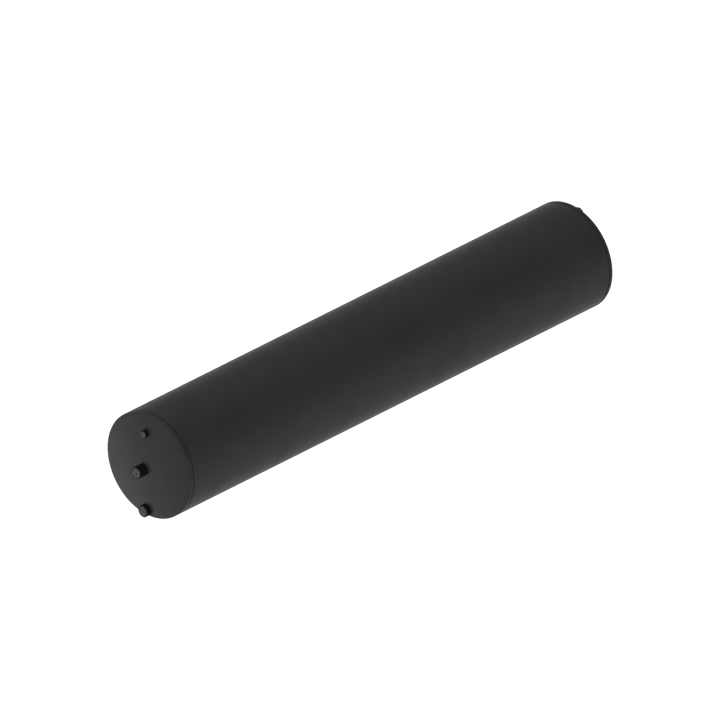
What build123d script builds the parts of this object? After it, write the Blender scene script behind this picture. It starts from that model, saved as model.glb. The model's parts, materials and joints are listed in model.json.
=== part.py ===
from build123d import *
from collections import namedtuple
import math
import os

# Round hydraulic reservoir: a long welded steel tank that lies on its side, with three
# threaded ports in its near head and a fourth, for filling, high in its far head.
# Millimetres. The origin is on the tank's axis at mid-length, +Y runs along the axis
# towards the far head, and +Z is up.

# Tank
TANK_R = 127.0
WALL = 3.2
HALF_LENGTH = 687.5  # from mid-length to the rim of either head
FLANGE_LENGTH = 8.6  # straight flange of a head, behind its rim
DISH_RISE = 14.5  # height of the crown above the rim
KNUCKLE_R = 1.6
INNER_R = TANK_R - WALL

# Butt joints: a V groove in the plate. The girth welds are hollow along their tops, and the
# lengthwise seam is dressed to the shell.
ROOT_GAP = 1.0
GROOVE_TOP = 2.8
GIRTH_RECESS = 0.5
SEAM_RECESS = 0.05
SEAM_ANGLE = 160.0  # about the axis, from +X towards +Z: high on the back of the tank

# Spherical crown of a head
CROWN_R = (TANK_R**2 + DISH_RISE**2) / (2 * DISH_RISE)
CROWN_CENTRE = HALF_LENGTH + DISH_RISE - CROWN_R
JOINT_Y = HALF_LENGTH - FLANGE_LENGTH - GROOVE_TOP / 2  # middle of a girth joint
THROUGH_HEAD = (HALF_LENGTH - FLANGE_LENGTH, HALF_LENGTH + 2 * DISH_RISE)  # y span that clears a head

# Forged pipe couplings, 1/2 in NPT and 1/4 in NPT
Fitting = namedtuple("Fitting", "outer_r bore_r length double")
HALF_INCH = Fitting(14.3, 9.13, 47.6, True)
QUARTER_INCH = Fitting(9.525, 5.56, 17.5, False)
MOUTH_CHAMFER = 1.4
RIM_CHAMFER = 0.9
RELIEF_WIDTH = 4.0
RELIEF_DEPTH = 0.8
FITTING_GAP = 0.15  # between a coupling and its hole in the head
WELD_LEG = 2.6
WELD_ROOT = 1.0  # how far a fillet's ring reaches into the coupling before it is cut out

# Ports: the height of the axis, and how far the mouth stands beyond the head's rim
Port = namedtuple("Port", "z standoff fitting")
NEAR_PORTS = {
    "vent": Port(85.0, 20.5, QUARTER_INCH),
    "return": Port(-3.0, 43.0, HALF_INCH),
    "suction": Port(-108.0, 20.9, HALF_INCH),
}
FAR_PORTS = {"fill": Port(93.8, 28.2, HALF_INCH)}

# Baffles across the tank
BAFFLE_Y = (-340.0, 0.0, 340.0)
BAFFLE_THICK = 3.0
BAFFLE_R = INNER_R - 0.5
BAFFLE_FLOOR = -98.0  # the plate stops here, so that oil passes under it
BAFFLE_TOP = 106.0  # and here, so that air passes over it
WINDOW_R = 27.0
WINDOW_X = 58.0
WINDOW_Z = -38.0
TACK_ANGLES = (25.0, 155.0, 205.0, 335.0)
TACK_SPAN = 14.0
TACK_LEG = 3.0

# Return tube, its grommets and its diffuser
TUBE_R = 10.65
TUBE_BORE_R = 7.9
THREAD_R = 9.10  # a male thread, taken at the coupling's bore
THREAD_LENGTH = 15.0
TUBE_END = 500.0
GROMMET_BORE_R = TUBE_R + 0.05
GROMMET_NECK_R = 14.95
GROMMET_RIM_R = 18.0
GROMMET_LIP = 2.5
GROMMET_HOLE_R = 15.0
DIFFUSER_R = 25.0
DIFFUSER_WALL = 1.5
DIFFUSER_START = 470.0
DIFFUSER_LENGTH = 160.0
DIFFUSER_PLATE = 3.0
DIFFUSER_HOLE_R = 3.0
DIFFUSER_RINGS = 7
DIFFUSER_PER_RING = 8

# Suction strainer. Its lengths are counted from the inner end of the suction coupling.
STRAINER_BORE_R = 7.0
HEX_START = 0.5
HEX_LENGTH = 10.0
HEX_FLATS = 24.0
BOSS_R = 13.4
SOCKET_R = 11.55
SOCKET_DEPTH = 6.0
BOSS_END = 19.5
CORE_R = 11.5
CORE_WALL = 0.8
CORE_END = 160.0
CORE_HOLE_R = 2.0
CORE_RINGS = 12
CORE_PER_RING = 6
PLEATS = 28
PLEAT_TOP_R = 13.5
PLEAT_ROOT_R = 12.3
PLEAT_THICK = 0.4
CAP_R = 14.0
CHAMBER_R = 10.6
CAP_WALL = 3.0

# Bypass valve in the strainer's cap
SEAT_R = 5.0
RETAINER_GAP = 0.5
RETAINER_THICK = 3.0
RETAINER_R = 10.5
RETAINER_RING = 1.6
RETAINER_HUB_R = 3.6
RETAINER_ARM = 2.4
STEM_R = 1.5
STEM_BORE_R = 1.56
SPRING_ROOM = 11.0
SPRING_R = 4.6
SPRING_WIRE_R = 0.5
SPRING_TURNS = 5
POPPET_R = 7.5
POPPET_THICK = 2.5
NOSE_R = 4.6
NOSE_LENGTH = 2.0
STEM_TAIL = 2.0
SEAT_GAP = 0.1

# Splash plate behind the vent
SPLASH_WIDTH = 46.0
SPLASH_HEIGHT = 40.0
SPLASH_THICK = 2.0
SPLASH_STANDOFF = 14.0  # clear of the vent coupling's inner end


def turned(points):
    """A solid turned about the Y axis from an outline given as (radius, y) points."""
    return revolve(make_face(Polyline(*points, close=True)), Axis.Y)


def pipe(outer_r, inner_r, start, end):
    """A plain tube or ring along Y."""
    return turned([(inner_r, start), (outer_r, start), (outer_r, end), (inner_r, end)])


def rod(radius, start, end):
    """A plain round bar along Y."""
    return pipe(radius, 0, start, end)


def across(sketch, start, thickness):
    """A sketch, drawn with its y up, made into a plate that starts at y = start."""
    plane = Plane(origin=(0, start, 0), x_dir=(-1, 0, 0), z_dir=(0, 1, 0))
    return extrude(plane * sketch, amount=thickness)


def at_near_end(shape):
    """Turns what is built for the far end round to the near end."""
    return shape.rotate(Axis.Z, 180)


def crown_y(radius, offset=0.0):
    """The y of the far head's crown at a radius, on its outer surface or offset inwards from it."""
    return CROWN_CENTRE + math.sqrt((CROWN_R - offset) ** 2 - radius**2)


def crown_arc(radius, offset=0.0):
    """The arc of the crown from the axis out to a radius."""
    points = [(r, crown_y(r, offset)) for r in (0, radius / 2, radius)]
    return ThreePointArc(*points)


def head_section():
    """Half section of the far head down to its bevelled edge."""
    skin = crown_arc(TANK_R)
    lining = crown_arc(INNER_R, WALL)
    bevel = [(TANK_R, JOINT_Y + GROOVE_TOP / 2), (INNER_R, JOINT_Y + ROOT_GAP / 2)]
    face = make_face([skin, Polyline(skin @ 1, *bevel, lining @ 1), lining, Line(lining @ 0, skin @ 0)])
    rim = face.vertices().sort_by_distance((TANK_R, HALF_LENGTH))[0]
    return fillet(rim, KNUCKLE_R)


def make_head(ports):
    """A dished head with a hole for each of its couplings."""
    head = revolve(head_section(), Axis.Y)
    for port in ports.values():
        hole = rod(port.fitting.outer_r + FITTING_GAP, *THROUGH_HEAD)
        head -= Pos(0, 0, port.z) * hole
    return head


def make_coupling(port):
    """A coupling with its mouth outwards, bored to its thread's tap size."""
    fitting = port.fitting
    outer = fitting.outer_r
    bore = fitting.bore_r
    mouth = bore + MOUTH_CHAMFER
    length = fitting.length
    outline = [(mouth, 0), (outer - RIM_CHAMFER, 0), (outer, RIM_CHAMFER)]
    outline += [(outer, length - RIM_CHAMFER), (outer - RIM_CHAMFER, length), (mouth, length)]
    outline += [(bore, length - MOUTH_CHAMFER)]
    if fitting.double:
        high = (length + RELIEF_WIDTH) / 2
        low = (length - RELIEF_WIDTH) / 2
        outline += [(bore, high), (bore + RELIEF_DEPTH, high), (bore + RELIEF_DEPTH, low), (bore, low)]
    outline += [(bore, MOUTH_CHAMFER)]
    return Pos(0, HALF_LENGTH + port.standoff - length, port.z) * turned(outline)


def make_coupling_weld(port):
    """The fillet between a coupling and the crown: a ring square to the crown, cut out by the coupling."""
    outer = port.fitting.outer_r
    heel = outer - WELD_ROOT
    toe = outer + WELD_LEG
    foot = [(radius, crown_y(radius) - crown_y(0)) for radius in (heel, outer, toe)]
    top = (heel, foot[0][1] + toe - heel)
    section = make_face([ThreePointArc(*foot), Polyline(foot[2], top, foot[0])])
    tilt = math.degrees(math.asin(port.z / CROWN_R))
    ring = Pos(0, crown_y(abs(port.z)), port.z) * Rot(tilt, 0, 0) * revolve(section, Axis.Y)
    return ring - Pos(0, 0, port.z) * rod(outer, *THROUGH_HEAD)


def plate_ring(outer_r):
    """The rolled plate's half section, turned all the way round, with bevelled ends."""
    root = JOINT_Y - ROOT_GAP / 2
    recess = (TANK_R - outer_r) / WALL * (GROOVE_TOP - ROOT_GAP) / 2
    top = JOINT_Y - GROOVE_TOP / 2 + recess
    return turned([(INNER_R, -root), (outer_r, -top), (outer_r, top), (INNER_R, root)])


def seam_groove():
    """The V groove of the lengthwise seam, wider than the plate is thick."""
    spread = (GROOVE_TOP - ROOT_GAP) / WALL
    low = ROOT_GAP / 2 - spread / 2
    high = GROOVE_TOP / 2 + spread / 2
    inside = INNER_R - 1
    outside = TANK_R + 1
    wedge = Polyline((inside, low), (outside, high), (outside, -high), (inside, -low), close=True)
    prism = across(make_face(wedge), -HALF_LENGTH, 2 * HALF_LENGTH)
    return prism.rotate(Axis.Y, SEAM_ANGLE - 180)


def make_shell():
    """The rolled shell, open along its seam."""
    return plate_ring(TANK_R) - seam_groove()


def make_seam_weld():
    """The lengthwise weld, dressed to follow the shell."""
    return plate_ring(TANK_R - SEAM_RECESS) & seam_groove()


def make_girth_weld():
    """The ring of weld between the shell and the far head, hollow along its top."""
    ends = [(TANK_R, JOINT_Y - GROOVE_TOP / 2), (TANK_R, JOINT_Y + GROOVE_TOP / 2)]
    root = [(INNER_R, JOINT_Y + ROOT_GAP / 2), (INNER_R, JOINT_Y - ROOT_GAP / 2)]
    top = ThreePointArc(ends[0], (TANK_R - GIRTH_RECESS, JOINT_Y), ends[1])
    return revolve(make_face([top, Polyline(ends[1], *root, ends[0])]), Axis.Y)


def on_return_line(shape):
    """Puts a piece on the return port's axis."""
    return Pos(0, 0, NEAR_PORTS["return"].z) * shape


def make_baffle(y):
    """A slosh baffle with a cut floor and top, two windows and a hole for the return tube."""
    band_height = BAFFLE_TOP - BAFFLE_FLOOR
    plate = Circle(BAFFLE_R) & Pos(0, (BAFFLE_TOP + BAFFLE_FLOOR) / 2) * Rectangle(2 * BAFFLE_R, band_height)
    plate -= Pos(0, NEAR_PORTS["return"].z) * Circle(GROMMET_HOLE_R)
    for side in (-1, 1):
        plate -= Pos(side * WINDOW_X, WINDOW_Z) * Circle(WINDOW_R)
    return across(plate, y - BAFFLE_THICK / 2, BAFFLE_THICK)


def make_baffle_welds(y):
    """Four short fillets between a baffle's far face and the shell."""
    face = y + BAFFLE_THICK / 2
    triangle = Polyline((INNER_R, face), (INNER_R, face + TACK_LEG), (INNER_R - TACK_LEG, face), close=True)
    tack = revolve(make_face(triangle), Axis.Y, TACK_SPAN)
    return Compound(children=[tack.rotate(Axis.Y, -angle) for angle in TACK_ANGLES])


def make_grommet(y):
    """A grooved rubber ring that holds the return tube in a baffle."""
    half = BAFFLE_THICK / 2
    lip = half + GROMMET_LIP
    ring = pipe(GROMMET_RIM_R, GROMMET_BORE_R, y - lip, y + lip)
    ring -= pipe(GROMMET_RIM_R, GROMMET_NECK_R, y - half, y + half)
    return on_return_line(ring)


def coupling_inner_end(port):
    """The y of a near coupling's end inside the tank."""
    return -(HALF_LENGTH + port.standoff) + port.fitting.length


def make_return_tube():
    """The pipe that carries returning oil to the far end, with its threaded end in the coupling."""
    shoulder = coupling_inner_end(NEAR_PORTS["return"]) + HEX_START
    start = shoulder - THREAD_LENGTH
    outside = [(THREAD_R, start), (THREAD_R, shoulder), (TUBE_R, shoulder), (TUBE_R, TUBE_END)]
    return on_return_line(turned([(TUBE_BORE_R, start), *outside, (TUBE_BORE_R, TUBE_END)]))


def radial_holes(radius, reach, rings, per_ring, start, end):
    """Bars that pierce a tube from side to side, in evenly spaced rings."""
    bars = []
    bar = Cylinder(radius, 2 * reach)
    for ring in range(rings):
        y = start + (end - start) * (ring + 0.5) / rings
        for step in range(per_ring // 2):
            angle = 360 * (step + 0.5 * (ring % 2)) / per_ring
            bars.append(Pos(0, y, 0) * Rot(0, angle, 0) * bar)
    return bars


def make_diffuser_shell():
    """The perforated can at the end of the return tube."""
    end = DIFFUSER_START + DIFFUSER_LENGTH
    can = pipe(DIFFUSER_R, DIFFUSER_R - DIFFUSER_WALL, DIFFUSER_START, end)
    margin = 4 * DIFFUSER_HOLE_R
    span = (DIFFUSER_START + margin, end - margin)
    can -= radial_holes(DIFFUSER_HOLE_R, DIFFUSER_R + 1, DIFFUSER_RINGS, DIFFUSER_PER_RING, *span)
    return on_return_line(can)


def make_diffuser_plate():
    """The ring that joins the diffuser to the return tube."""
    ring = pipe(DIFFUSER_R - DIFFUSER_WALL, TUBE_R, DIFFUSER_START, DIFFUSER_START + DIFFUSER_PLATE)
    return on_return_line(ring)


def make_diffuser_cap():
    """The disc that closes the diffuser's far end."""
    end = DIFFUSER_START + DIFFUSER_LENGTH
    return on_return_line(rod(DIFFUSER_R - DIFFUSER_WALL, end - DIFFUSER_PLATE, end))


def at_strainer(shape):
    """Puts a strainer piece on the suction port's axis, from the coupling's inner end."""
    port = NEAR_PORTS["suction"]
    return Pos(0, coupling_inner_end(port), port.z) * shape


def make_strainer_nipple():
    """The threaded nipple with a hexagon and a socket for the strainer's core."""
    hexagon = RegularPolygon(HEX_FLATS / 2, 6, major_radius=False)
    nipple = across(hexagon, HEX_START, HEX_LENGTH)
    nipple += rod(THREAD_R, HEX_START - THREAD_LENGTH, HEX_START)
    nipple += rod(BOSS_R, HEX_START + HEX_LENGTH, BOSS_END)
    nipple -= rod(STRAINER_BORE_R, HEX_START - THREAD_LENGTH, BOSS_END)
    nipple -= rod(SOCKET_R, BOSS_END - SOCKET_DEPTH, BOSS_END)
    return at_strainer(nipple)


def make_strainer_core():
    """The perforated tube that the mesh is wrapped round."""
    start = BOSS_END - SOCKET_DEPTH
    core = pipe(CORE_R, CORE_R - CORE_WALL, start, CORE_END)
    first = BOSS_END + 2 * CORE_HOLE_R
    last = CORE_END - SOCKET_DEPTH - 2 * CORE_HOLE_R
    return at_strainer(core - radial_holes(CORE_HOLE_R, CORE_R + 1, CORE_RINGS, CORE_PER_RING, first, last))


def pleat_outline(top_r, root_r):
    """A star outline with one point to each pleat."""
    points = []
    for corner in range(2 * PLEATS):
        radius = root_r if corner % 2 else top_r
        angle = math.pi * corner / PLEATS
        points.append((radius * math.cos(angle), radius * math.sin(angle)))
    return make_face(Polyline(*points, close=True))


def make_strainer_mesh():
    """The pleated wire gauze between the nipple's boss and the cap."""
    section = pleat_outline(PLEAT_TOP_R, PLEAT_ROOT_R)
    section -= pleat_outline(PLEAT_TOP_R - PLEAT_THICK, PLEAT_ROOT_R - PLEAT_THICK)
    length = CORE_END - SOCKET_DEPTH - BOSS_END
    return at_strainer(across(section, BOSS_END, length))


def seat_y():
    """The inner face of the cap's end wall, which the poppet closes against."""
    return CORE_END + RETAINER_GAP + RETAINER_THICK + SPRING_ROOM + POPPET_THICK + SEAT_GAP


def make_strainer_cap():
    """The cap that holds the core's end and the bypass valve's chamber and seat."""
    opening = CORE_END - SOCKET_DEPTH
    cap = rod(CAP_R, opening, seat_y() + CAP_WALL)
    cap -= rod(SOCKET_R, opening, CORE_END)
    cap -= rod(CHAMBER_R, CORE_END, seat_y())
    cap -= rod(SEAT_R, seat_y(), seat_y() + CAP_WALL)
    return at_strainer(cap)


def make_bypass_retainer():
    """The three-armed spider that guides the poppet's stem and backs its spring."""
    spider = Circle(RETAINER_R) - Circle(RETAINER_R - RETAINER_RING)
    for arm in range(3):
        bar = Pos(RETAINER_R / 2, 0) * Rectangle(RETAINER_R - RETAINER_RING, RETAINER_ARM)
        spider += Rot(0, 0, 90 + 120 * arm) * bar
    spider += Circle(RETAINER_HUB_R + RETAINER_RING)
    spider -= Circle(STEM_BORE_R)
    return at_strainer(across(spider, CORE_END + RETAINER_GAP, RETAINER_THICK))


def make_bypass_poppet():
    """The valve's disc with its nose in the seat and its stem through the retainer."""
    face = seat_y() - SEAT_GAP
    back = face - POPPET_THICK
    tail = CORE_END + RETAINER_GAP - STEM_TAIL
    outline = [(0, tail), (STEM_R, tail), (STEM_R, back), (POPPET_R, back), (POPPET_R, face)]
    outline += [(NOSE_R, face), (NOSE_R - 1, face + NOSE_LENGTH), (0, face + NOSE_LENGTH)]
    return at_strainer(turned(outline))


def make_bypass_spring():
    """The coil between the retainer and the back of the poppet."""
    margin = SPRING_WIRE_R + 0.1
    start = CORE_END + RETAINER_GAP + RETAINER_THICK + margin
    height = SPRING_ROOM - 2 * margin
    path = Helix(height / SPRING_TURNS, height, SPRING_R)
    wire = sweep(Plane(origin=path @ 0, z_dir=path % 0) * Circle(SPRING_WIRE_R), path)
    return at_strainer(Pos(0, start, 0) * Rot(-90, 0, 0) * wire)


def make_splash_plate():
    """A plate on two legs behind the vent, which keeps splashing oil out of it."""
    port = NEAR_PORTS["vent"]
    face = HALF_LENGTH + port.standoff - port.fitting.length - SPLASH_STANDOFF
    plate = Box(SPLASH_WIDTH, SPLASH_THICK, SPLASH_HEIGHT)
    legs = []
    leg_length = HALF_LENGTH + DISH_RISE - face
    for side in (-1, 1):
        x = side * (SPLASH_WIDTH - SPLASH_THICK) / 2
        legs.append(Pos(x, leg_length / 2, 0) * Box(SPLASH_THICK, leg_length, SPLASH_HEIGHT))
    channel = Pos(0, face, port.z) * (plate + legs)
    lining = crown_arc(INNER_R, WALL)
    inside = make_face([lining, Polyline(lining @ 1, (INNER_R, 0), (0, 0), lining @ 0)])
    return channel & revolve(inside, Axis.Y)


def build_nodes():
    """Every sub-part by its node's name."""
    nodes = {
        "shell": make_shell(),
        "shell_seam_weld": make_seam_weld(),
        "near_head": at_near_end(make_head(NEAR_PORTS)),
        "far_head": make_head(FAR_PORTS),
        "near_girth_weld": at_near_end(make_girth_weld()),
        "far_girth_weld": make_girth_weld(),
        "return_tube": make_return_tube(),
        "diffuser_shell": make_diffuser_shell(),
        "diffuser_inlet_plate": make_diffuser_plate(),
        "diffuser_end_cap": make_diffuser_cap(),
        "strainer_nipple": make_strainer_nipple(),
        "strainer_core": make_strainer_core(),
        "strainer_mesh": make_strainer_mesh(),
        "strainer_end_cap": make_strainer_cap(),
        "bypass_retainer": make_bypass_retainer(),
        "bypass_poppet": make_bypass_poppet(),
        "bypass_spring": make_bypass_spring(),
        "vent_splash_plate": at_near_end(make_splash_plate()),
    }
    for name, port in NEAR_PORTS.items():
        nodes[f"{name}_coupling"] = at_near_end(make_coupling(port))
        nodes[f"{name}_coupling_weld"] = at_near_end(make_coupling_weld(port))
    for name, port in FAR_PORTS.items():
        nodes[f"{name}_coupling"] = make_coupling(port)
        nodes[f"{name}_coupling_weld"] = make_coupling_weld(port)
    for number, y in enumerate(BAFFLE_Y, 1):
        nodes[f"baffle_{number}"] = make_baffle(y)
        nodes[f"baffle_{number}_welds"] = make_baffle_welds(y)
        nodes[f"tube_grommet_{number}"] = make_grommet(y)
    return nodes


os.makedirs("parts", exist_ok=True)
for node, shape in build_nodes().items():
    export_step(shape, f"parts/{node}.step")
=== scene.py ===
import json
import math

import bmesh
import bpy
from mathutils import Matrix, Vector, noise


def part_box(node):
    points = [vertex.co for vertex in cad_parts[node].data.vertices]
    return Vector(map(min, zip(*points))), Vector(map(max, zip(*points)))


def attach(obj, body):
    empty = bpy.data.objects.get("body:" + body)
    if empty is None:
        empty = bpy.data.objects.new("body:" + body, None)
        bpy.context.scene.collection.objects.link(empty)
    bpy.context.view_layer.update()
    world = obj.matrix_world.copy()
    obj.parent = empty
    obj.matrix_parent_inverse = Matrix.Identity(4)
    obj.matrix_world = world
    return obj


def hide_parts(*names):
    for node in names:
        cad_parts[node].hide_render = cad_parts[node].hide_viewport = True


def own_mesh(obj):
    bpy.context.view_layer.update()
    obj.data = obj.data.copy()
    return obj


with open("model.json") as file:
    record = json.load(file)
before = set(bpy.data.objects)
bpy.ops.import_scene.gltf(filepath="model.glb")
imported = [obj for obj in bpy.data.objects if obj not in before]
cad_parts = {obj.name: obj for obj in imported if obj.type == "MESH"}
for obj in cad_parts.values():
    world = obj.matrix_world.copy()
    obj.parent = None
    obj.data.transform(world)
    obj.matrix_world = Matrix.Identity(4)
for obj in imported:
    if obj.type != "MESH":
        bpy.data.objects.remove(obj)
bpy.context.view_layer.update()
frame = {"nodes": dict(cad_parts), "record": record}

MM = 0.001
TURN = 2 * math.pi
MOUNTS = {mount["name"]: mount for mount in frame["record"]["mounts"]}

# ---------------------------------------------------------------- sizes, from the frame

TANK_R = MOUNTS["strap_seat"]["dims"]["r_mm"] * MM
SHELL_END = MOUNTS["strap_seat"]["dims"]["length_mm"] * MM / 2  # outer edge of the shell's bevel
ROOT_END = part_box("shell")[1].y  # the shell's end at its root
CROWN_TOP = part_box("far_head")[1].y
DISH_RISE = 14.5 * MM
RIM_Y = CROWN_TOP - DISH_RISE
CROWN_R = (TANK_R**2 + DISH_RISE**2) / (2 * DISH_RISE)
CROWN_CENTRE = CROWN_TOP - CROWN_R
WALL = 3.2 * MM
INNER_R = TANK_R - WALL
KNUCKLE_R = 1.6 * MM
GROOVE_TOP = 2.8 * MM
ROOT_GAP = 1.0 * MM
EDGE_R = 0.25 * MM  # how far a cut edge is eased
SEAM_ANGLE = math.radians(160)
BEVEL = (GROOVE_TOP - ROOT_GAP) / 2
HEAD_EDGE = SHELL_END + GROOVE_TOP  # the head's edge at its outer face
HEAD_ROOT = HEAD_EDGE - BEVEL

ROUND = 256  # faces round the tank
PORT_ROUND = 96  # faces round a coupling

CAMERA_AZIMUTH = math.radians(42.95)
CAMERA_ELEVATION = math.radians(27.71)
VIEW_WIDTH = 1.599
CAMERA_DISTANCE = 4
FLOOR_HEIGHT = -1.2
FLOOR_SIZE = 60
FLOOR_GLOW = 0.7  # brings the floor up to plain white


# ---------------------------------------------------------------- camera, light and floor


def make_camera():
    """A level, parallel view of the near head from its right and from above."""
    level = math.cos(CAMERA_ELEVATION)
    sideways = math.sin(CAMERA_AZIMUTH) * level
    forwards = math.cos(CAMERA_AZIMUTH) * level
    back = Vector((sideways, -forwards, math.sin(CAMERA_ELEVATION)))
    turn = back.to_track_quat("Z", "Y")
    data = bpy.data.cameras.new("camera")
    data.type = "ORTHO"
    data.ortho_scale = VIEW_WIDTH
    data.clip_end = FLOOR_SIZE
    camera = bpy.data.objects.new("camera", data)
    camera.rotation_euler = turn.to_euler()
    camera.location = back * CAMERA_DISTANCE
    bpy.context.scene.collection.objects.link(camera)
    bpy.context.scene.camera = camera


SKY_LEVEL = 0.51
SKY_SLOPE = (0.14, -0.37, 0.0)  # how fast the light grows along each axis
SOFT_BOXES = (  # broad soft boxes, each with its direction and strength
    ((0.71, 0.64, -0.29), 0.56),
    ((-0.80, -0.40, -0.45), 0.68),
    ((-0.61, 0.64, -0.47), 0.57),
    ((-0.10, 0.64, 0.76), 0.48),
)


def make_sky():
    """Soft light from all round, with a gentle slope and a few broad soft boxes a long way off."""
    world = bpy.data.worlds.new("studio")
    bpy.context.scene.world = world
    world.use_nodes = True
    tree = world.node_tree
    direction = tree.nodes.new("ShaderNodeTexCoord").outputs["Generated"]

    def along(toward):
        node = tree.nodes.new("ShaderNodeVectorMath")
        node.operation = "DOT_PRODUCT"
        node.inputs[1].default_value = toward
        tree.links.new(direction, node.inputs[0])
        return node.outputs["Value"]

    def maths(operation, value, other):
        node = tree.nodes.new("ShaderNodeMath")
        node.operation = operation
        tree.links.new(value, node.inputs[0])
        if isinstance(other, float):
            node.inputs[1].default_value = other
        else:
            tree.links.new(other, node.inputs[1])
        return node.outputs["Value"]

    level = maths("ADD", along(SKY_SLOPE), SKY_LEVEL)
    for toward, strength in SOFT_BOXES:
        facing = maths("POWER", maths("MAXIMUM", along(toward), 0.0), 4.0)
        level = maths("ADD", maths("MULTIPLY", facing, strength), level)
    tree.links.new(level, tree.nodes["Background"].inputs["Strength"])
    tree.nodes["Background"].inputs["Color"].default_value = (1, 1, 1, 1)


def make_floor():
    """A plain white floor well below the tank."""
    bpy.context.scene.view_settings.view_transform = "Standard"
    bpy.ops.mesh.primitive_plane_add(size=FLOOR_SIZE, location=(0, 0, FLOOR_HEIGHT))
    floor = bpy.context.object
    floor.name = "studio_floor"
    # the tank is lit and mirrored by the sky alone, from below as well
    floor.visible_glossy = False
    floor.visible_diffuse = False
    floor.visible_shadow = False
    white = bpy.data.materials.new("floor_white")
    white.use_nodes = True
    shader = white.node_tree.nodes["Principled BSDF"]
    shader.inputs["Base Color"].default_value = (0.8, 0.8, 0.8, 1)
    shader.inputs["Emission Color"].default_value = (1, 1, 1, 1)
    shader.inputs["Emission Strength"].default_value = FLOOR_GLOW
    shader.inputs["Roughness"].default_value = 0.9
    shader.inputs["Specular IOR Level"].default_value = 0.0
    floor.data.materials.append(white)


# ---------------------------------------------------------------- materials


class Nodes:
    """Adds and links the nodes of one material."""

    def __init__(self, name):
        self.material = bpy.data.materials.new(name)
        self.material.use_nodes = True
        self.tree = self.material.node_tree
        self.shader = self.tree.nodes["Principled BSDF"]

    def add(self, kind, **values):
        node = self.tree.nodes.new(kind)
        for key, value in values.items():
            setattr(node, key, value)
        return node

    def link(self, start, end):
        self.tree.links.new(start, end)

    def place(self, scale=(1, 1, 1)):
        """Object coordinates, stretched by scale."""
        coordinates = self.add("ShaderNodeTexCoord")
        mapping = self.add("ShaderNodeMapping")
        mapping.inputs["Scale"].default_value = scale
        self.link(coordinates.outputs["Object"], mapping.inputs["Vector"])
        return mapping.outputs["Vector"]

    def noise(self, place, scale, detail=3.0, roughness=0.5):
        texture = self.add("ShaderNodeTexNoise")
        texture.inputs["Scale"].default_value = scale
        texture.inputs["Detail"].default_value = detail
        texture.inputs["Roughness"].default_value = roughness
        self.link(place, texture.inputs["Vector"])
        return texture.outputs["Fac"]

    def ramp(self, value, low, high, start, end):
        """Maps value, between low and high, to start to end."""
        node = self.add("ShaderNodeMapRange")
        node.inputs["From Min"].default_value = low
        node.inputs["From Max"].default_value = high
        node.inputs["To Min"].default_value = start
        node.inputs["To Max"].default_value = end
        self.link(value, node.inputs["Value"])
        return node.outputs["Result"]

    def mix(self, share, dark, light):
        """A colour between two, each a colour or a socket."""
        node = self.add("ShaderNodeMix", data_type="RGBA")
        self.link(share, node.inputs["Factor"])
        for socket, colour in ((node.inputs[6], dark), (node.inputs[7], light)):
            if isinstance(colour, tuple):
                socket.default_value = (*colour, 1)
            else:
                self.link(colour, socket)
        return node.outputs[2]

    def maths(self, operation, first, second):
        node = self.add("ShaderNodeMath", operation=operation)
        for socket, value in zip(node.inputs, (first, second)):
            if isinstance(value, (int, float)):
                socket.default_value = value
            else:
                self.link(value, socket)
        return node.outputs["Value"]

    def bump(self, height, distance, strength=1.0, under=None):
        node = self.add("ShaderNodeBump")
        node.inputs["Distance"].default_value = distance
        node.inputs["Strength"].default_value = strength
        self.link(height, node.inputs["Height"])
        if under is not None:
            self.link(under, node.inputs["Normal"])
        return node.outputs["Normal"]

    def attribute(self, name):
        node = self.add("ShaderNodeAttribute", attribute_name=name)
        return node.outputs["Fac"]

    def set(self, **values):
        """Sets the shader's own sockets; an underscore in a name stands for a space."""
        for key, value in values.items():
            self.shader.inputs[key.replace("_", " ")].default_value = value

    def feed(self, **sockets):
        for key, socket in sockets.items():
            self.link(socket, self.shader.inputs[key.replace("_", " ")])


def satin_paint(name, dark, light, worn, roughness, gloss=0.3):
    """Satin paint: slight cloudiness, orange peel, fine dust and thin spots on its edges."""
    m = Nodes(name)
    place = m.place()
    clouds = m.noise(place, 9, 4)
    specks = m.noise(place, 900, 2)
    base = m.mix(m.ramp(clouds, 0.35, 0.65, 0, 1), dark, light)
    wear = m.maths("MULTIPLY", m.attribute("edge"), m.ramp(m.noise(place, 260, 5, 0.7), 0.5, 0.72, 0, 1))
    colour = m.mix(wear, base, worn)
    smudges = m.ramp(m.noise(place, 23, 5, 0.6), 0.3, 0.7, -0.04, 0.04)
    peel = m.bump(m.noise(place, 520, 2), 0.00006, 0.5)
    grit = m.bump(specks, 0.00002, 0.35, peel)
    m.feed(
        Base_Color=colour,
        Roughness=m.maths("ADD", smudges, roughness),
        Normal=grit,
    )
    m.set(Specular_IOR_Level=gloss)
    return m.material


def machined_steel(name, dark, light, roughness, rings):
    """Turned steel: fine rings across the axis and a film of oil in patches."""
    m = Nodes(name)
    place = m.place()
    lines = m.noise(m.place((1, rings, 1)), 40, 2)
    patches = m.noise(place, 120, 4, 0.6)
    m.feed(
        Base_Color=m.mix(m.ramp(patches, 0.35, 0.7, 0, 1), dark, light),
        Roughness=m.ramp(patches, 0.3, 0.7, roughness - 0.06, roughness + 0.1),
        Normal=m.bump(lines, 0.00003, 0.6),
    )
    m.set(Metallic=1.0)
    return m.material


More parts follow.
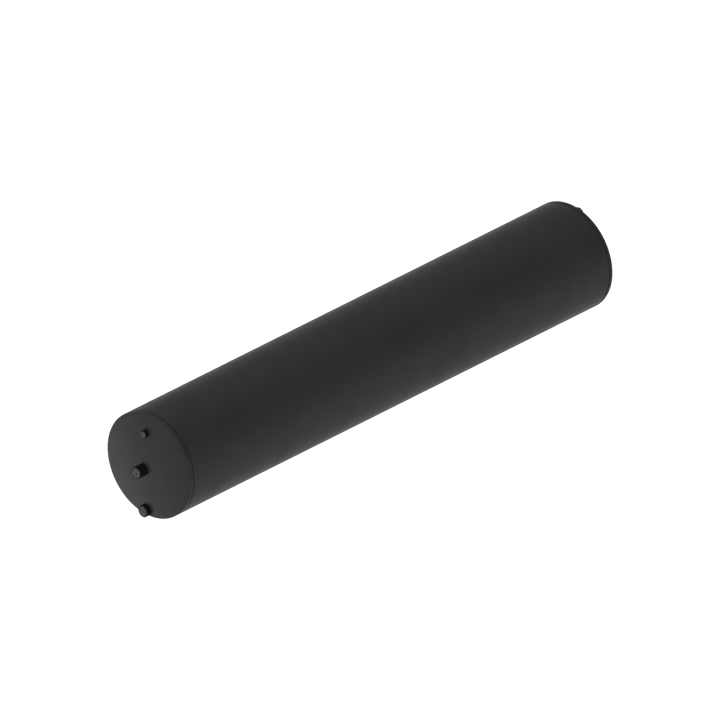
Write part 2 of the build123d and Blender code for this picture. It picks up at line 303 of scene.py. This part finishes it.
def mill_plate(name, dark, light):
    """Hot-rolled plate under oil: bluish mill scale with faint rolling lines."""
    m = Nodes(name)
    place = m.place()
    scale = m.noise(place, 30, 6, 0.65)
    rolling = m.noise(m.place((60, 60, 3)), 8, 3)
    m.feed(
        Base_Color=m.mix(m.ramp(scale, 0.35, 0.65, 0, 1), dark, light),
        Roughness=m.ramp(scale, 0.3, 0.7, 0.35, 0.6),
        Normal=m.bump(rolling, 0.00005, 0.4),
    )
    m.set(Metallic=0.85)
    return m.material


def woven_gauze(name):
    """Stainless gauze: two sets of fine wires crossing."""
    m = Nodes(name)
    wires = []
    for direction in ("X", "Y"):
        wave = m.add("ShaderNodeTexWave", bands_direction=direction)
        wave.inputs["Scale"].default_value = 900
        m.link(m.place(), wave.inputs["Vector"])
        wires.append(wave.outputs["Fac"])
    weave = m.maths("MAXIMUM", *wires)
    m.feed(
        Base_Color=m.mix(weave, (0.10, 0.10, 0.10), (0.55, 0.55, 0.56)),
        Normal=m.bump(weave, 0.00015, 0.8),
    )
    m.set(Metallic=1.0, Roughness=0.4)
    return m.material


def rubber(name):
    """Matt nitrile rubber with a faint moulded grain."""
    m = Nodes(name)
    grain = m.noise(m.place(), 700, 3)
    m.feed(
        Base_Color=m.mix(grain, (0.018, 0.018, 0.018), (0.035, 0.035, 0.034)),
        Roughness=m.ramp(grain, 0.3, 0.7, 0.7, 0.85),
        Normal=m.bump(grain, 0.00005, 0.5),
    )
    return m.material


# ---------------------------------------------------------------- mesh helpers


def new_piece(name, points, faces, materials, face_materials=None, sharp=30, edge=None):
    """A shaded mesh object. edge gives each point's nearness to a worn edge, from 0 to 1."""
    mesh = bpy.data.meshes.new(name)
    mesh.from_pydata(points, [], faces)
    for material in materials:
        mesh.materials.append(material)
    if face_materials:
        mesh.polygons.foreach_set("material_index", face_materials)
    worn = mesh.attributes.new("edge", "FLOAT", "POINT")
    worn.data.foreach_set("value", edge if edge else [0.0] * len(points))
    piece = bpy.data.objects.new(name, mesh)
    bpy.context.scene.collection.objects.link(piece)
    clean(piece)
    shade(piece, sharp)
    return piece


def shade(piece, sharp):
    """Smooth shading that keeps the large faces flat and the edges over an angle sharp."""
    piece.data.shade_smooth()
    piece.data.set_sharp_from_angle(angle=math.radians(sharp))
    weighted = piece.modifiers.new("shading", "WEIGHTED_NORMAL")
    weighted.keep_sharp = True
    apply_modifier(piece, weighted)


def apply_modifier(piece, modifier):
    bpy.context.view_layer.objects.active = piece
    bpy.ops.object.modifier_apply(modifier=modifier.name)


def clean(piece, gap=1e-7):
    """Joins doubled points, drops empty faces and turns every face outwards."""
    mesh = bmesh.new()
    mesh.from_mesh(piece.data)
    bmesh.ops.remove_doubles(mesh, verts=mesh.verts, dist=gap)
    bmesh.ops.dissolve_degenerate(mesh, edges=mesh.edges, dist=gap)
    bmesh.ops.recalc_face_normals(mesh, faces=mesh.faces)
    mesh.to_mesh(piece.data)
    mesh.free()


def grid_faces(rows, columns, wrap_rows=False, wrap_columns=False, first=0):
    """Four-sided faces over a grid of points numbered row by row."""
    faces = []
    for row in range(rows if wrap_rows else rows - 1):
        above = (row + 1) % rows
        for column in range(columns if wrap_columns else columns - 1):
            beside = (column + 1) % columns
            faces.append(
                (
                    first + row * columns + column,
                    first + row * columns + beside,
                    first + above * columns + beside,
                    first + above * columns + column,
                )
            )
    return faces


def round_point(radius, y, angle):
    """A point at a radius and an angle round the tank's axis."""
    return (radius * math.cos(angle), y, radius * math.sin(angle))


def arc(centre, radius, start, end, steps):
    """Points on an arc in the (radius, y) plane, by angle from the +radius direction."""
    points = []
    for step in range(steps + 1):
        angle = start + (end - start) * step / steps
        points.append((centre[0] + radius * math.cos(angle), centre[1] + radius * math.sin(angle)))
    return points


def finish_piece(piece, slot, *nodes):
    """The piece stands for these CAD nodes and rides on the tank."""
    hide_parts(*nodes)
    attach(piece, "tank")


# ---------------------------------------------------------------- tank shell and heads


def crown_y(radius, offset=0.0):
    return CROWN_CENTRE + math.sqrt((CROWN_R - offset) ** 2 - radius**2)


def knuckle():
    """Centre of the knuckle arc, and the angle at which it leaves the crown."""
    reach = CROWN_R - KNUCKLE_R
    x = TANK_R - KNUCKLE_R
    y = CROWN_CENTRE + math.sqrt(reach**2 - x**2)
    return (x, y), math.asin((y - CROWN_CENTRE) / reach)


def head_y(radius):
    """The outer face of the far head at a radius."""
    (x, y), lean = knuckle()
    if radius <= x + KNUCKLE_R * math.cos(lean):
        return crown_y(radius)
    return y + math.sqrt(max(KNUCKLE_R**2 - (radius - x) ** 2, 0))


def head_profile():
    """The far head's half section from the axis outside round to the axis inside, with each point's wear."""
    centre, lean = knuckle()
    leave = centre[0] + KNUCKLE_R * math.cos(lean)
    steps = 40
    points = []
    for step in range(steps):
        radius = leave * step / steps
        points.append((radius, crown_y(radius), max(0, 1 - (leave - radius) / (2 * MM)) * 0.5))
    points += [(*p, 0.5) for p in arc(centre, KNUCKLE_R, lean, 0, 8)]
    points.append((TANK_R, centre[1] - 1 * MM, 0.0))
    points.append((TANK_R, HEAD_EDGE + 1 * MM, 0.0))
    points += [(*p, 0.8) for p in arc((TANK_R - EDGE_R, HEAD_EDGE + EDGE_R), EDGE_R, 0, -math.pi / 3, 3)]
    points.append((INNER_R, HEAD_ROOT, 0.0))
    for step in range(steps + 1):
        radius = INNER_R * (1 - step / steps)
        points.append((radius, crown_y(radius, WALL), 0.0))
    return points


def make_head(name, sign, holes, paint):
    """A dished head, turned from its section, with a hole for each coupling."""
    profile = head_profile()
    points = []
    edge = []
    for radius, y, worn in profile:
        for step in range(ROUND):
            points.append(round_point(radius, sign * y, TURN * step / ROUND))
            edge.append(worn)
    faces = grid_faces(len(profile), ROUND, wrap_columns=True)
    head = new_piece(name, points, faces, [paint], edge=edge)
    for z, hole in holes:
        bpy.ops.mesh.primitive_cylinder_add(vertices=PORT_ROUND, radius=hole, depth=80 * MM)
        cutter = bpy.context.object
        cutter.data.transform(Matrix.Translation((0, sign * RIM_Y, z)) @ Matrix.Rotation(math.pi / 2, 4, "X"))
        cut = head.modifiers.new("hole", "BOOLEAN")
        cut.object = cutter
        cut.operation = "DIFFERENCE"
        cut.solver = "EXACT"
        apply_modifier(head, cut)
        bpy.data.objects.remove(cutter)
    shade(head, 30)
    finish_piece(head, "tank_paint", name)


def make_shell(paint):
    """The rolled plate, from one lip of its seam round to the other, with bevelled and eased edges."""
    profile = [(INNER_R, -ROOT_END, 0.0)]
    eased = [(*p, 0.8) for p in arc((TANK_R - EDGE_R, SHELL_END - EDGE_R), EDGE_R, math.pi / 3, 0, 3)]
    profile += [(r, -y, worn) for r, y, worn in eased]
    rings = 60
    flat = SHELL_END - 1 * MM
    for ring in range(rings + 1):
        profile.append((TANK_R, -flat + 2 * flat * ring / rings, 0.0))
    profile += [*reversed(eased), (INNER_R, ROOT_END, 0.0)]
    points = []
    edge = []
    for r, y, worn in profile:
        lip = (ROOT_GAP / 2 + BEVEL * (r - INNER_R) / WALL) / r
        for step in range(ROUND + 1):
            angle = SEAM_ANGLE + lip + (TURN - 2 * lip) * step / ROUND
            points.append(round_point(r, y, angle))
            edge.append(worn)
    faces = grid_faces(len(profile), ROUND + 1, wrap_rows=True)
    rows = len(profile)
    columns = ROUND + 1
    faces.append(tuple(row * columns for row in range(rows)))
    faces.append(tuple(row * columns + ROUND for row in reversed(range(rows))))
    shell = new_piece("shell", points, faces, [paint], edge=edge)
    finish_piece(shell, "tank_paint", "shell")


# ---------------------------------------------------------------- welds


def ripple(along, across, spacing):
    """Height from 0 to 1 of a bead's ripples, which bow back towards the middle of the bead."""
    phase = along / spacing + 0.5 * (2 * across - 1) ** 2
    share = phase % 1
    return share**0.6 * (1 - share) ** 0.25 * 1.4


def bead_wander(along, seed):
    """A slow, steady-handed wander from -1 to 1."""
    return noise.noise(Vector((along * 60, seed, 0.5)))


RIPPLE_ROWS = 7  # points in the length of one ripple
BEAD_POINTS = 9  # points across a bead


def make_girth_weld(name, sign, paint):
    """The weld between the shell and a head: a rippled bead lying a little below the plate."""
    recess = 0.5 * MM
    relief = 0.28 * MM
    spacing = 2.2 * MM
    ripples = round(TURN * TANK_R / spacing)
    steps = ripples * RIPPLE_ROWS
    middle = SHELL_END + GROOVE_TOP / 2
    half_top = GROOVE_TOP / 2 - BEVEL * recess / WALL
    points = []
    for step in range(steps):
        angle = TURN * step / steps
        along = TURN * TANK_R * step / steps
        for number in range(BEAD_POINTS):
            across = number / (BEAD_POINTS - 1)
            crown = math.sin(math.pi * across)
            lift = relief * crown * ripple(along, across, TURN * TANK_R / ripples)
            wave = Vector((math.cos(angle), math.sin(angle), 0)) * 6
            sink = 0.1 * MM * noise.noise(wave)
            radius = TANK_R - recess - 0.25 * MM + lift + sink * crown + 0.1 * MM * crown
            points.append(round_point(radius, sign * (middle - half_top + 2 * half_top * across), angle))
        for y in (middle + ROOT_GAP / 2, middle - ROOT_GAP / 2):
            points.append(round_point(INNER_R, sign * y, angle))
    faces = grid_faces(steps, BEAD_POINTS + 2, wrap_rows=True, wrap_columns=True)
    weld = new_piece(name, points, faces, [paint], sharp=50)
    finish_piece(weld, "weld_paint", name)


def make_seam_weld(paint):
    """The lengthwise weld of the shell, a straight rippled bead in its groove."""
    recess = 0.15 * MM
    relief = 0.3 * MM
    spacing = 2.4 * MM
    ripples = round(2 * SHELL_END / spacing)
    steps = ripples * RIPPLE_ROWS
    outward = Vector((math.cos(SEAM_ANGLE), 0, math.sin(SEAM_ANGLE)))
    sideways = Vector((-math.sin(SEAM_ANGLE), 0, math.cos(SEAM_ANGLE)))
    half_top = GROOVE_TOP / 2 - BEVEL * recess / WALL
    points = []
    for step in range(steps + 1):
        y = -SHELL_END + 2 * SHELL_END * step / steps
        along = y + SHELL_END
        for number in range(BEAD_POINTS):
            across = number / (BEAD_POINTS - 1)
            crown = math.sin(math.pi * across)
            lift = relief * crown * (ripple(along, across, spacing) - 1)
            side = half_top * (2 * across - 1)
            rise = math.sqrt((TANK_R - recess) ** 2 - side**2) + lift
            points.append(tuple(outward * rise + sideways * side + Vector((0, y, 0))))
        for side in (ROOT_GAP / 2, -ROOT_GAP / 2):
            points.append(tuple(outward * (INNER_R + 0.02 * MM) + sideways * side + Vector((0, y, 0))))
    columns = BEAD_POINTS + 2
    faces = grid_faces(steps + 1, columns, wrap_columns=True)
    faces.append(tuple(range(columns)))
    faces.append(tuple(steps * columns + n for n in reversed(range(columns))))
    weld = new_piece("shell_seam_weld", points, faces, [paint], sharp=50)
    finish_piece(weld, "weld_paint", "shell_seam_weld")


def make_fillet_weld(name, sign, z, wall_r, paint):
    """The fillet bead round a coupling: it climbs and falls with the crown, rippled all the way round."""
    leg = 2.6 * MM
    root = 0.15 * MM
    relief = 0.16 * MM
    fullness = 1.15  # how far the bead's section is drawn in from a circle
    inset = 0.93  # keeps the bead's ripples within its leg
    clearance = 0.03 * MM
    length = TURN * (wall_r + leg / 2)
    ripples = round(length / (1.7 * MM))
    steps = ripples * RIPPLE_ROWS
    points = []
    for step in range(steps):
        angle = TURN * step / steps
        along = length * step / steps
        reach = leg * (0.97 + 0.05 * bead_wander(math.cos(angle) * 0.05, z) + 0.04 * math.sin(3 * angle))

        def on_section(out, up):
            radius = wall_r + out
            x = radius * math.cos(angle)
            height = z + radius * math.sin(angle)
            return (x, sign * (head_y(math.hypot(x, height)) + up), height)

        for number in range(BEAD_POINTS):
            across = number / (BEAD_POINTS - 1)
            swing = across * math.pi / 2
            bulge = 0.80 + 0.10 * math.sin(2 * swing)
            lift = relief * math.sin(math.pi * across) * ripple(along, across, length / ripples)
            size = bulge * reach + lift
            out = size * math.sin(swing) ** fullness / bulge
            up = size * math.cos(swing) ** fullness / bulge
            points.append(on_section(out * inset + clearance, up * inset))
        points.append(on_section(-root, -root))
    faces = grid_faces(steps, BEAD_POINTS + 1, wrap_rows=True, wrap_columns=True)
    weld = new_piece(name, points, faces, [paint], sharp=50)
    finish_piece(weld, "weld_paint", name)


# ---------------------------------------------------------------- couplings

THREADS = {
    "small": {"pitch": 25.4 / 18 * MM, "depth": 0.95 * MM},
    "large": {"pitch": 25.4 / 14 * MM, "depth": 1.25 * MM},
}
THREAD_ROWS = 8  # points in one pitch
PORTS = (("vent", -1, "small"), ("return", -1, "large"), ("suction", -1, "large"), ("fill", 1, "large"))


def thread_share(row):
    """Depth of a V thread with small flats, from 0 on its crest to 1 at its root, at a row of a pitch."""
    share = (row % THREAD_ROWS) / THREAD_ROWS
    return min(1, max(0, 1.18 * (1 - abs(2 * share - 1)) - 0.09))


def coupling_outline(outer, mouth, length):
    """The coupling's outside from the edge of one mouth round to the other: points, wear and material."""
    chamfer = 0.9 * MM
    ease = 0.3 * MM
    diagonal = math.pi / 4
    one_end = [(mouth, 0.0, 0.4, 1), (outer - chamfer - ease, 0.0, 0.3, 1)]
    turn = arc((outer - chamfer - ease, ease), ease, -math.pi / 2, -diagonal, 3)
    one_end += [(r, y, 1.0, 0) for r, y in turn[1:]]
    turn = arc((outer - ease, chamfer + ease), ease, -diagonal, 0, 3)
    one_end += [(r, y, 1.0, 0) for r, y in turn]
    sides = 24
    walls = []
    for step in range(1, sides):
        walls.append((outer, chamfer + ease + (length - 2 * chamfer - 2 * ease) * step / sides, 0.0, 0))
    other_end = [(r, length - y, worn, kind) for r, y, worn, kind in reversed(one_end)]
    return one_end + walls + other_end


def make_coupling(port, sign, size, materials):
    """A forged coupling with chamfered mouths and a real helical thread cut from each end."""
    node = f"{port}_coupling"
    low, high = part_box(node)
    outer = (high.x - low.x) / 2
    length = high.y - low.y
    z = (high.z + low.z) / 2
    mouth_y = high.y if sign > 0 else low.y
    bore = MOUNTS[f"{port}_port"]["dims"]["r_mm"] * MM
    mouth = bore + 1.4 * MM
    thread = THREADS[size]
    relief = 2.0 * MM if size == "large" else -1.0

    def at(radius, y, angle):
        return (radius * math.cos(angle), mouth_y - sign * y, z + radius * math.sin(angle))

    points = []
    edge = []
    kinds = []
    outline = coupling_outline(outer, mouth, length)
    for radius, y, worn, _ in outline:
        for step in range(PORT_ROUND):
            points.append(at(radius, y, TURN * step / PORT_ROUND))
            edge.append(worn)
    faces = grid_faces(len(outline), PORT_ROUND, wrap_columns=True)
    for row in range(len(outline) - 1):
        kinds += [outline[row][3]] * PORT_ROUND
    first = len(points)
    pitches = math.ceil(length / thread["pitch"]) + 2
    rows = pitches * THREAD_ROWS
    for row in range(rows):
        depth = thread["depth"] * thread_share(row)
        for step in range(PORT_ROUND):
            turn = step / PORT_ROUND
            y = thread["pitch"] * (row / THREAD_ROWS + turn - 1)
            y = min(length, max(0.0, y))
            flare = mouth - min(y, length - y)
            radius = max(bore + depth, flare)
            if abs(y - length / 2) < relief:
                radius = bore + thread["depth"]
            points.append(at(radius, y, TURN * turn))
            edge.append(0.0)
    for row in range(rows - 1):
        for step in range(PORT_ROUND):
            beside = step + 1
            shift = 0
            if beside == PORT_ROUND:
                beside = 0
                shift = THREAD_ROWS
            if row + 1 + shift >= rows:
                continue
            faces.append(
                (
                    first + row * PORT_ROUND + step,
                    first + (row + shift) * PORT_ROUND + beside,
                    first + (row + shift + 1) * PORT_ROUND + beside,
                    first + (row + 1) * PORT_ROUND + step,
                )
            )
            kinds.append(2)
    piece = new_piece(node, points, faces, materials, kinds, sharp=28, edge=edge)
    finish_piece(piece, "fitting_black", node)
    # the head round it stays evenly lit, with no dark ring
    piece.visible_glossy = False
    piece.visible_diffuse = False
    piece.visible_shadow = False
    return z, outer


# ---------------------------------------------------------------- bypass spring


def make_spring(steel):
    """The coil between the bypass valve's retainer and its poppet, made as one rigid coil; the real one
    shortens as the valve opens.
    """
    low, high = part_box("bypass_spring")
    wire = 0.5 * MM
    coil = (high.x - low.x) / 2 - wire
    middle = (low + high) / 2
    rise = high.y - low.y - 2 * wire
    turns = 5
    steps = turns * 48
    ring = 12
    points = []
    for step in range(steps + 1):
        angle = TURN * turns * step / steps
        outward = Vector((math.cos(angle), 0, math.sin(angle)))
        centre = Vector((middle.x, low.y + wire + rise * step / steps, middle.z)) + outward * coil
        along = Vector((-math.sin(angle), rise / (TURN * turns * coil), math.cos(angle))).normalized()
        side = along.cross(outward)
        for number in range(ring):
            swing = TURN * number / ring
            points.append(tuple(centre + (outward * math.cos(swing) + side * math.sin(swing)) * wire))
    faces = grid_faces(steps + 1, ring, wrap_columns=True)
    faces.append(tuple(range(ring)))
    faces.append(tuple(steps * ring + number for number in reversed(range(ring))))
    spring = new_piece("bypass_spring", points, faces, [steel], sharp=60)
    finish_piece(spring, "spring_steel", "bypass_spring")
    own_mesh(spring)


# ---------------------------------------------------------------- the object

make_camera()
make_sky()
make_floor()

HOLE_GAP = 0.15 * MM  # between a coupling and its hole in the head
WORN = (0.030, 0.029, 0.028)
paint = satin_paint("tank_paint", (0.0080, 0.0080, 0.0085), (0.0112, 0.0112, 0.0117), WORN, 0.42)
weld_paint = satin_paint(
    "weld_paint", (0.0180, 0.0180, 0.0184), (0.0240, 0.0240, 0.0244), WORN, 0.65, gloss=0.08
)
fillet_paint = satin_paint(
    "fillet_paint", (0.0180, 0.0180, 0.0184), (0.0230, 0.0230, 0.0234), WORN, 0.5, gloss=0.3
)
black = satin_paint(
    "fitting_black", (0.0075, 0.0075, 0.0078), (0.0100, 0.0100, 0.0104), WORN, 0.65, gloss=0.05
)
face = satin_paint(
    "fitting_face", (0.006, 0.006, 0.0063), (0.010, 0.010, 0.0103), (0.03, 0.03, 0.03), 0.5, gloss=0.2
)
thread_steel = machined_steel("thread_steel", (0.05, 0.05, 0.05), (0.16, 0.16, 0.16), 0.35, 20)

make_shell(paint)
make_seam_weld(weld_paint)
holes = {-1: [], 1: []}
for port, sign, size in PORTS:
    z, outer = make_coupling(port, sign, size, [black, face, thread_steel])
    make_fillet_weld(f"{port}_coupling_weld", sign, z, outer, fillet_paint)
    holes[sign].append((z, outer + HOLE_GAP))
make_head("near_head", -1, holes[-1], paint)
make_head("far_head", 1, holes[1], paint)
make_girth_weld("near_girth_weld", -1, weld_paint)
make_girth_weld("far_girth_weld", 1, weld_paint)

INNER = {
    "bare_plate": mill_plate("bare_plate", (0.16, 0.17, 0.19), (0.34, 0.34, 0.35)),
    "weld_bare": mill_plate("weld_bare", (0.12, 0.11, 0.10), (0.30, 0.28, 0.26)),
    "bare_tube": machined_steel("bare_tube", (0.30, 0.30, 0.31), (0.46, 0.46, 0.47), 0.35, 3),
    "perforated_steel": machined_steel("perforated_steel", (0.42, 0.42, 0.43), (0.56, 0.56, 0.57), 0.3, 6),
    "zinc_plate": machined_steel("zinc_plate", (0.44, 0.45, 0.42), (0.62, 0.62, 0.58), 0.3, 12),
    "wire_gauze": woven_gauze("wire_gauze"),
    "poppet_brass": machined_steel("poppet_brass", (0.50, 0.36, 0.13), (0.66, 0.50, 0.22), 0.25, 30),
    "spring_steel": machined_steel("spring_steel", (0.32, 0.32, 0.33), (0.48, 0.48, 0.49), 0.3, 4),
    "nitrile": rubber("nitrile"),
}
make_spring(INNER["spring_steel"])
for subpart in frame["record"]["subparts"]:
    material = INNER.get(subpart["material_slot"])
    if material:
        node = frame["nodes"][subpart["node"]]
        for slot in node.material_slots:
            slot.material = material
